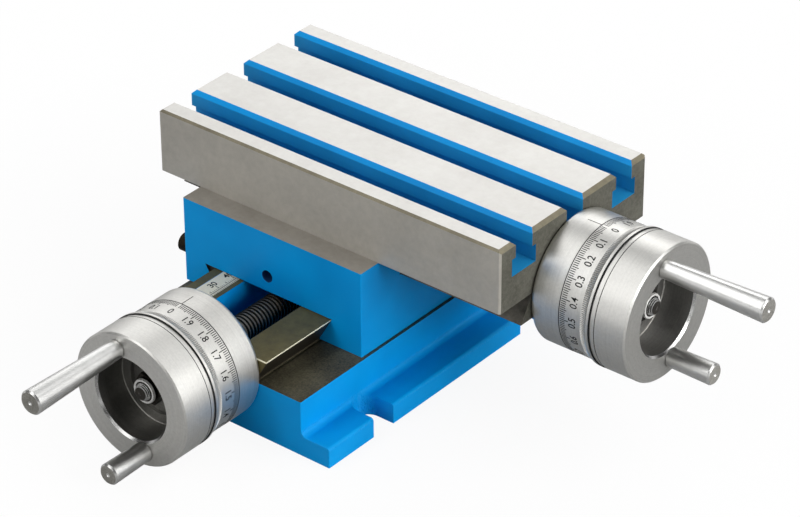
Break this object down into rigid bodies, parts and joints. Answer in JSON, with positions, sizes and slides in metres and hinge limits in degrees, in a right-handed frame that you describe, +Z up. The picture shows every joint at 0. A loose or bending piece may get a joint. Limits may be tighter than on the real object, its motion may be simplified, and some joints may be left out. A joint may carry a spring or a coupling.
{
  "type": "cross slide table",
  "caption": "Cross slide table with a T-slotted top on dovetail ways, moved lengthways and crossways by leadscrews with graduated dials and handwheels.",
  "frame": {"origin": "on the bench under the middle of the saddle at rest, below the cross leadscrew", "axes": "+X along the table towards the long leadscrew's handwheel, +Y away from the cross leadscrew's handwheel, +Z up"},
  "size_m": [0.2849, 0.2749, 0.0984],
  "materials": {
    "blue_paint": "gloss paint on castings, with bare ground ways",
    "ground_iron": "finely ground",
    "satin_aluminium": "satin turned",
    "bright_steel": "polished",
    "black_steel": "blackened and oiled",
    "gib_steel": "ground and oiled",
    "bronze": "machined"
  },
  "bodies": {
    "base": {"base_casting": "blue_paint", "y_bearing_housing": "satin_aluminium", "y_bearing_bush": "bronze", "y_housing_screws": "black_steel", "y_scale_strip": "bright_steel", "y_scale_pins": "bright_steel"},
    "saddle": {"saddle_casting": "blue_paint", "y_gib": "gib_steel", "y_gib_screws": "black_steel", "y_gib_nuts": "black_steel", "x_gib": "gib_steel", "x_gib_screws": "black_steel", "x_gib_nuts": "black_steel", "x_feed_nut": "bronze", "x_feed_nut_screws": "black_steel", "y_feed_nut": "bronze", "y_feed_nut_screws": "black_steel"},
    "table": {"table_casting": "ground_iron", "x_bearing_housing": "satin_aluminium", "x_bearing_bush": "bronze", "x_housing_screws": "black_steel"},
    "x_screw": {"x_leadscrew": "black_steel", "x_thrust_washers": "bright_steel", "x_handwheel": "satin_aluminium", "x_wheel_key": "bright_steel", "x_wheel_washer": "black_steel", "x_wheel_nut": "black_steel", "x_long_handle": "bright_steel", "x_short_handle": "bright_steel", "x_dial_spring": "bright_steel"},
    "x_dial": {"x_dial_ring": "satin_aluminium"},
    "y_screw": {"y_leadscrew": "black_steel", "y_thrust_washers": "bright_steel", "y_handwheel": "satin_aluminium", "y_wheel_key": "bright_steel", "y_wheel_washer": "black_steel", "y_wheel_nut": "black_steel", "y_long_handle": "bright_steel", "y_short_handle": "bright_steel", "y_dial_spring": "bright_steel"},
    "y_dial": {"y_dial_ring": "satin_aluminium"}
  },
  "joints": [
    {"name": "y_slide", "type": "slide", "parent": "base", "child": "saddle", "axis": [0, 1, 0], "range_m": [-0.041, 0.008]},
    {"name": "x_slide", "type": "slide", "parent": "saddle", "child": "table", "axis": [1, 0, 0], "range_m": [-0.063, 0.022]},
    {"name": "y_wheel_turn", "type": "hinge", "parent": "base", "child": "y_screw", "pos_m": [0, -0.11625, 0.0313], "axis": [0, 1, 0], "range_deg": [-7381, 1441]},
    {"name": "x_wheel_turn", "type": "hinge", "parent": "table", "child": "x_screw", "pos_m": [0.1279, 0, 0.06355], "axis": [-1, 0, 0], "range_deg": [-3961, 11341]},
    {"name": "y_dial_turn", "type": "hinge", "parent": "y_screw", "child": "y_dial", "pos_m": [0, -0.11625, 0.0313], "axis": [0, 1, 0], "continuous": true},
    {"name": "x_dial_turn", "type": "hinge", "parent": "x_screw", "child": "x_dial", "pos_m": [0.1279, 0, 0.06355], "axis": [-1, 0, 0], "continuous": true}
  ],
  "couplings": [
    {"joint": "y_wheel_turn", "follows": "y_slide", "rad_per_m": 3141.6},
    {"joint": "x_wheel_turn", "follows": "x_slide", "rad_per_m": -3141.6}
  ]
}
